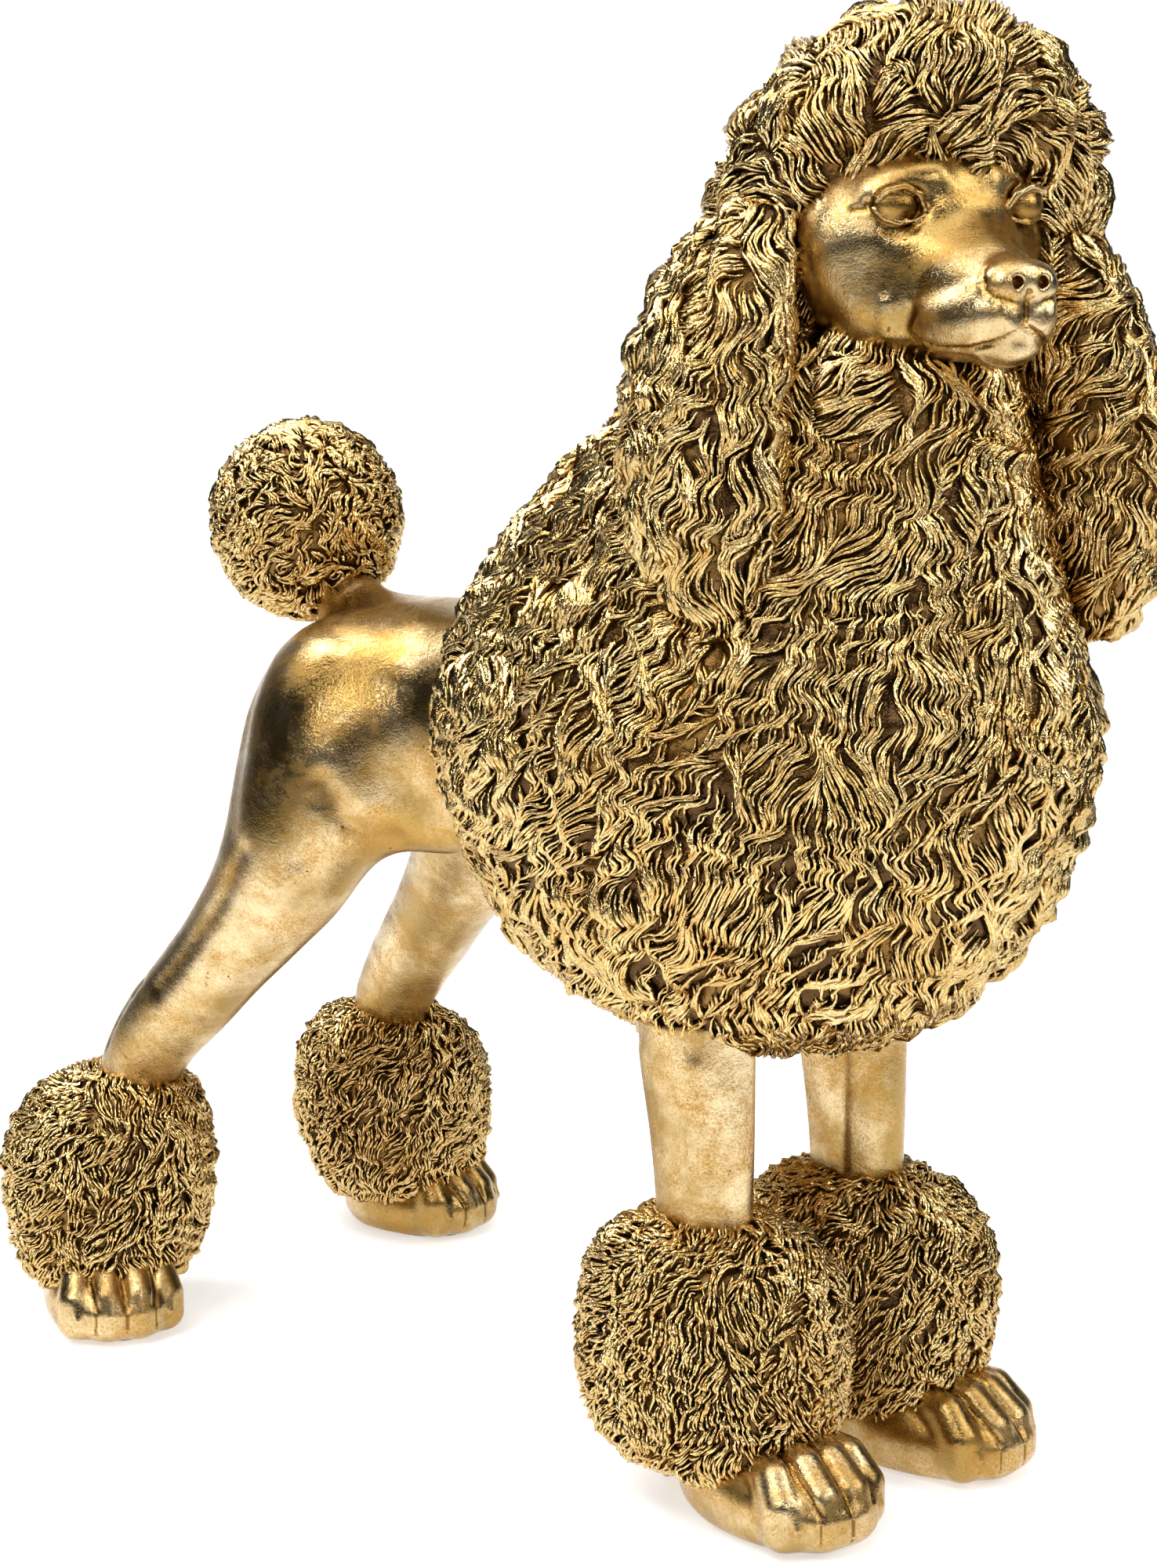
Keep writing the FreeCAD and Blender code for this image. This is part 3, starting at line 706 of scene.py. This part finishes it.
# ---- carved hair ----------------------------------------------------------------------------
SKIN_CELL = 2.0
START_BEHIND = 0.4   # the share of a strand that lies behind the spot it grows at
UNEVENNESS = 0.28    # how much the strands differ in height
CORE_DEPTH = 0.9     # how far the core, painted dark as shade, lies under the strands
FRIZZ, FRIZZ_SIZE = 0.6, 7.0   # how far a strand strays by itself, in radians, and over what length
STRAND_RINGS = 6
# a crest of 0 at a strand's foot paints it dark as shade, 1 on its ridge gold
STRAND_PROFILE = [(-1.0, -0.9, 0.0), (0.0, 1.0, 1.0), (1.0, -0.9, 0.0)]   # across, up and crest


class Skin:
    """The smooth form that a mass of hair grows on."""

    def __init__(self, node):
        low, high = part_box(node)
        clay = clay_around(low, high, SKIN_CELL)
        press_in(clay, *hull_polygons(node), 0.5)
        self.points, self.faces = clay.surface()
        self.tree = BVHTree.FromPolygons(self.points.tolist(), self.faces)
        self.normals = np.zeros_like(self.points)
        corners = np.array([f[:3] for f in self.faces])
        a, b, c = (self.points[corners[:, i]] for i in range(3))
        across = np.cross(b - a, c - a)
        for i in range(3):
            np.add.at(self.normals, corners[:, i], across)
        self.normals /= np.linalg.norm(self.normals, axis=1)[:, None] + 1e-9
        share = np.array([1.0 if len(f) == 4 else 0.5 for f in self.faces])
        self.areas = np.linalg.norm(across, axis=1) * share
        self.corners = corners

    def seeds(self, spacing, rng):
        """Points scattered evenly over the skin, few of them nearer than 0.8 of the spacing."""
        tries = int(self.areas.sum() / spacing ** 2 * 3.0)
        pick = rng.choice(len(self.areas), tries, p=self.areas / self.areas.sum())
        u, v = rng.random(tries), rng.random(tries)
        a, b, c = (self.points[self.corners[pick, i]] for i in range(3))
        spots = a + (b - a) * u[:, None] + (c - b) * v[:, None]
        taken, kept = {}, []
        for spot in spots:
            cell = tuple((spot // spacing).astype(int))
            near = (taken.get((cell[0] + i, cell[1] + j, cell[2] + k))
                    for i in (-1, 0, 1) for j in (-1, 0, 1) for k in (-1, 0, 1))
            if all(other is None or ((other - spot) ** 2).sum() > (0.8 * spacing) ** 2 for other in near):
                taken[cell] = spot
                kept.append(Vector(spot))
        return kept


def drift(p):
    """A smooth random vector, each part of it from its own region of the noise."""
    return Vector([noise.noise(p + Vector((31.4 * i, 0, 17.2 * i))) for i in range(3)])


def lumps(p, size, seed):
    """Rounded tufts: 1 at the middle of each, 0 in the clefts, and a number that names the tuft."""
    spot = Vector((p.x, p.y, 0.7 * p.z)) / size + Vector((seed, 0, 0))
    distances, middles = noise.voronoi(spot + 0.35 * drift(spot * 1.3))
    rise = math.sqrt(min(1.0, (distances[1] - distances[0]) * 1.5))
    return rise, noise.cell(middles[0] * 17.3)


class Hair:
    """How one mass of hair is combed, waved and heaped. Lengths are in millimetres."""

    def __init__(self, comb, length, width, spacing, *, wave, wavelength, tuft, heap, tier,
                 stray, tip, seed):
        self.comb, self.length, self.width, self.spacing = comb, length, width, spacing
        self.wave, self.wavelength, self.tuft, self.heap = wave, wavelength, tuft, heap
        self.tier, self.stray, self.tip, self.seed = tier, stray, tip, seed

    def phase(self, p):
        """Where a spot stands in the waves, which run down the hair and drift sideways."""
        sway = noise.noise(p / (1.5 * self.wavelength) + Vector((self.seed, 3, 7)))
        return 2 * math.pi * (-p.z / self.wavelength + 1.3 * sway)

    def height(self, p):
        """How far the carved surface stands off the smooth form: tufts in overlapping tiers."""
        rise, _ = lumps(p, self.tuft, self.seed)
        phase = self.phase(p)
        return self.heap * (rise - 0.6) + self.tier * (math.sin(phase) - 0.4 * math.sin(2 * phase))

    def direction(self, p, normal):
        """The way a strand runs: the comb's way over the surface, swung by waves and tufts."""
        along = self.comb(p)
        along = along - normal * along.dot(normal)
        if along.length < 1e-4:
            along = normal.orthogonal()
        along.normalize()
        _, name = lumps(p, self.tuft, self.seed)
        swing = self.wave * math.sin(self.phase(p) + 2.4 * name) + self.stray * (2 * name - 1)
        swing += FRIZZ * noise.noise(p / FRIZZ_SIZE + Vector((0, self.seed, 5)))
        return (along * math.cos(swing) + normal.cross(along) * math.sin(swing)).normalized()


def trace_strands(skin, hair, rng, hidden):
    """Each strand's places, its side and up directions, its half width and its tone."""
    strands, halves, tones = [], [], []
    steps = STRAND_RINGS - 1
    for seed in skin.seeds(hair.spacing, rng):
        spot, normal, _, _ = skin.tree.find_nearest(seed)
        if hidden(spot):
            continue
        step = hair.length * (0.7 + 0.6 * rng.random()) / steps
        lift = UNEVENNESS * rng.normal()
        back = seed - hair.direction(spot, normal) * step * steps * START_BEHIND
        spot, normal, _, _ = skin.tree.find_nearest(back)
        rings = []
        for i in range(STRAND_RINGS):
            along = hair.direction(spot, normal)
            t = i / steps
            off = hair.height(spot) + lift - 0.2 + 0.7 * math.sin(math.pi * min(1, t * 1.1)) + hair.tip * t
            rings.append((spot + normal * off, normal.cross(along), normal))
            spot, normal, _, _ = skin.tree.find_nearest(spot + along * step)
        strands.append(rings)
        halves.append(0.5 * hair.width * (0.75 + 0.5 * rng.random()))
        tones.append(rng.random())
    places, sides, normals = np.moveaxis(np.array(strands), 2, 0)
    return places, sides, normals, np.array(halves), np.array(tones)


def strand_mesh(places, sides, normals, halves, tones):
    """Closed strands that taper to both ends, as points, faces and their crest and tone values."""
    count = len(places)
    t = np.linspace(0, 1, STRAND_RINGS)
    taper = np.clip(np.sin(np.pi * (0.06 + 0.90 * t)) ** 0.6, 0.12, 1)
    half = halves[:, None, None] * taper[None, :, None]
    rows, crests = [], []
    for across, up, crest in STRAND_PROFILE:
        rows.append(places + sides * half * across + normals * half * up * 1.15)
        crests.append(np.full((count, STRAND_RINGS), crest))
    points = np.stack(rows, axis=2).reshape(-1, 3)
    crest = np.stack(crests, axis=2).reshape(-1)
    tone = np.repeat(tones, STRAND_RINGS * len(STRAND_PROFILE))
    k = len(STRAND_PROFILE)
    last = (STRAND_RINGS - 1) * k
    ring = np.array([(r + i, r + (i + 1) % k, r + k + (i + 1) % k, r + k + i)
                     for r in range(0, last, k) for i in range(k)])
    start = np.arange(count) * STRAND_RINGS * k
    faces = (start[:, None, None] + ring[None]).reshape(-1, 4).tolist()
    for first in start.tolist():
        faces.append([first + i for i in range(k - 1, -1, -1)])
        faces.append([first + last + i for i in range(k)])
    return points, faces, crest, tone


def cover_test(node):
    """True for a spot on a node's skin that another piece covers."""
    others = []
    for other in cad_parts:
        if other != node:
            points, triangles = node_polygons(other)
            others.append(BVHTree.FromPolygons(points.tolist(), triangles.tolist()))

    def hidden(spot):
        for tree in others:
            near, facing, _, gap = tree.find_nearest(spot, 9.0)
            if near is not None and gap > 2.2 and (spot - near).dot(facing) < -0.6 * gap:
                return True
        return False

    return hidden


def make_hair(node, hair, gold):
    """A lumpy core painted dark as shade, with the gold strands over it."""
    skin = Skin(node)
    rng = np.random.default_rng(hair.seed)
    points, faces, crest, tone = strand_mesh(*trace_strands(skin, hair, rng, cover_test(node)))
    heights = np.array([hair.height(Vector(p)) for p in skin.points]) - CORE_DEPTH
    core = skin.points + skin.normals * heights[:, None]
    shift = len(core)
    faces = list(skin.faces) + [[i + shift for i in f] for f in faces]
    points = np.concatenate([core, points])
    # the core's crest of 0 paints it in the dark shade colours
    values = {"crest": np.concatenate([np.zeros(shift), crest]),
              "tone": np.concatenate([np.full(shift, 0.3), tone])}
    add_piece(node + "_hair", points, faces, gold, [node], values)


def comb_mane(p):
    """Out from the neck on top, then down and a little back."""
    out = Vector((p.x - HEAD_AXIS.x, p.y - HEAD_AXIS.y - 15, 0)).normalized()
    return out * min(0.8, max(0.0, (p.z - 240) / 60)) + Vector((0, 0.12, -1))


def comb_topknot(p):
    """Away from the face in front, falling down behind."""
    away = p - HEAD_AXIS
    forward = -away.x * math.sin(HAIR_TURN) - away.y * math.cos(HAIR_TURN)
    ahead = Vector((-math.sin(FACE_TURN), -math.cos(FACE_TURN), 0))
    face = HEAD_AXIS + ahead * 30 + Vector((0, 0, 322))
    fall = min(1.0, max(0.0, (5 - forward) / 40))
    return (p - face).normalized() * (1 - fall) + Vector((0, 0, -1)) * fall


def comb_down(p):
    """Down and a little back."""
    return Vector((0, 0.1, -1))


def comb_cuff(middle):
    """Out from the leg on top and down the sides."""
    def comb(p):
        return (p - middle).normalized() * 0.8 + Vector((0, 0, -1))
    return comb


def comb_curl(p):
    """Every way, a little downwards."""
    return drift(p / 11.0) * 1.6 + Vector((0, 0, -0.5))


def make_all_hair(gold):
    make_hair("mane", Hair(comb_mane, 10, 1.25, 1.9, wave=0.65, wavelength=12, tuft=15, heap=3.2,
                           tier=0.8, stray=0.2, tip=0.3, seed=1), gold)
    make_hair("topknot", Hair(comb_topknot, 8, 1.2, 1.8, wave=0.4, wavelength=14, tuft=14,
                              heap=5.5, tier=0.6, stray=0.6, tip=0.8, seed=2), gold)
    for side, seed in (("left", 3), ("right", 4)):
        make_hair("ear_" + side, Hair(comb_down, 11, 1.2, 1.9, wave=0.6, wavelength=15, tuft=11,
                                      heap=3.4, tier=0.6, stray=0.3, tip=0.3, seed=seed), gold)
    for end, first in (("fore", 5), ("hind", 7)):
        for i, side in enumerate(("left", "right")):
            node = end + "_cuff_" + side
            comb = comb_cuff(centre(node))
            make_hair(node, Hair(comb, 4.8, 1.05, 1.38, wave=0.4, wavelength=7, tuft=7,
                                 heap=1.3, tier=0.7, stray=0.35, tip=0.5, seed=first + i), gold)
    make_hair("tail_pompon", Hair(comb_curl, 5, 1.3, 1.25, wave=0.6, wavelength=9, tuft=7,
                                  heap=1.2, tier=0.3, stray=0.7, tip=0.4, seed=9), gold)


# ---- everything -----------------------------------------------------------------------------
def dress(node, material):
    """Gives a CAD node that stays visible its material."""
    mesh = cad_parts[node].data
    mesh.materials.clear()
    mesh.materials.append(material)


def main():
    make_camera()
    make_lights()
    make_floor()
    gold = smooth_gold()
    carved = hair_gold()
    make_hindquarters(gold)
    make_face(gold)
    for side, out in (("left", 1), ("right", -1)):
        make_foreleg(side, gold)
        make_paw("fore_paw_" + side, 19, 30, 27, out * math.radians(8), gold)
    make_paw("hind_paw_left", 19, 26, 26, math.radians(14), gold)
    make_paw("hind_paw_right", 19, 26, 26, -math.radians(26), gold)
    make_all_hair(carved)
    pad_felt = felt()
    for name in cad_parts:
        if "_pad_" in name:
            dress(name, pad_felt)
    dress("vent_plug", cork())


main()
